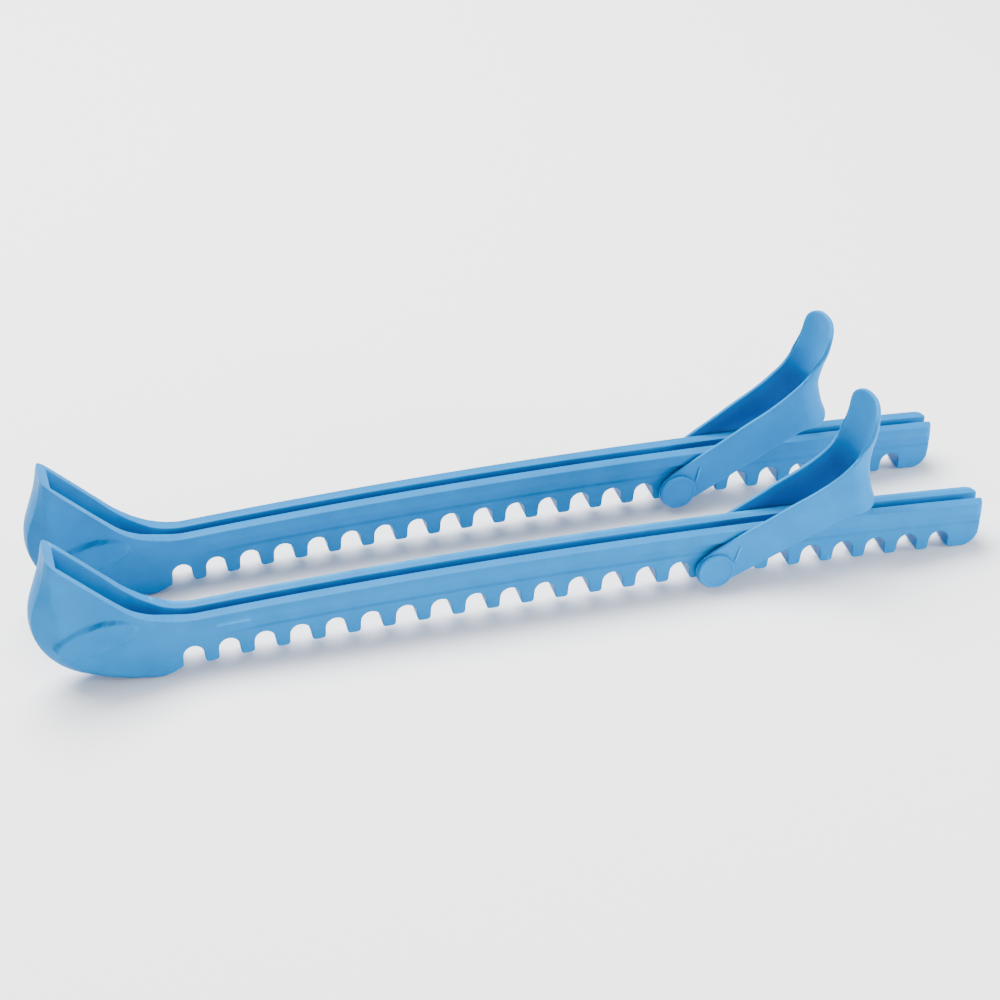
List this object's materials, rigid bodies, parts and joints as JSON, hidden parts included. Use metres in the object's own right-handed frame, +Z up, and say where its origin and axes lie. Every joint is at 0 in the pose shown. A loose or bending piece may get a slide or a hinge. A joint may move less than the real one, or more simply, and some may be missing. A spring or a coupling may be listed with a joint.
{
  "type": "skate blade guards",
  "caption": "Pair of bowed, notched rails with a blade slot and scooped toe, each with a hinged U-shaped heel strap on a cross pin.",
  "frame": {"origin": "centre of the pair's bounding box, on the plane that the guards stand on", "axes": "+X runs along the guards from toe to heel, +Y from the first guard to the second, +Z up"},
  "size_m": [0.3483, 0.0799, 0.0719],
  "materials": {
    "rail_plastic": "satin moulded polyethylene",
    "strap_rubber": "smooth moulded rubber",
    "pin_plastic": "satin moulded plastic"
  },
  "bodies": {
    "guard_a": {"rail_a": "rail_plastic"},
    "guard_b": {"rail_b": "rail_plastic"},
    "strap_a": {"heel_strap_a": "strap_rubber", "cross_pin_a": "pin_plastic", "pin_cap_a": "pin_plastic"},
    "strap_b": {"heel_strap_b": "strap_rubber", "cross_pin_b": "pin_plastic", "pin_cap_b": "pin_plastic"}
  },
  "joints": [
    {"name": "strap_swing_a", "type": "hinge", "parent": "guard_a", "child": "strap_a", "pos_m": [0.06652, -0.02705, 0.00879], "axis": [0, -1, 0], "range_deg": [-2.5, 122]},
    {"name": "strap_swing_b", "type": "hinge", "parent": "guard_b", "child": "strap_b", "pos_m": [0.06981, 0.02622, 0.00879], "axis": [0.0175, -0.9998, 0], "range_deg": [-6.5, 118]},
    {"name": "guard_b_lift", "type": "slide", "parent": "guard_a", "child": "guard_b", "axis": [0, 0, 1], "range_m": [0, 0.08]}
  ]
}
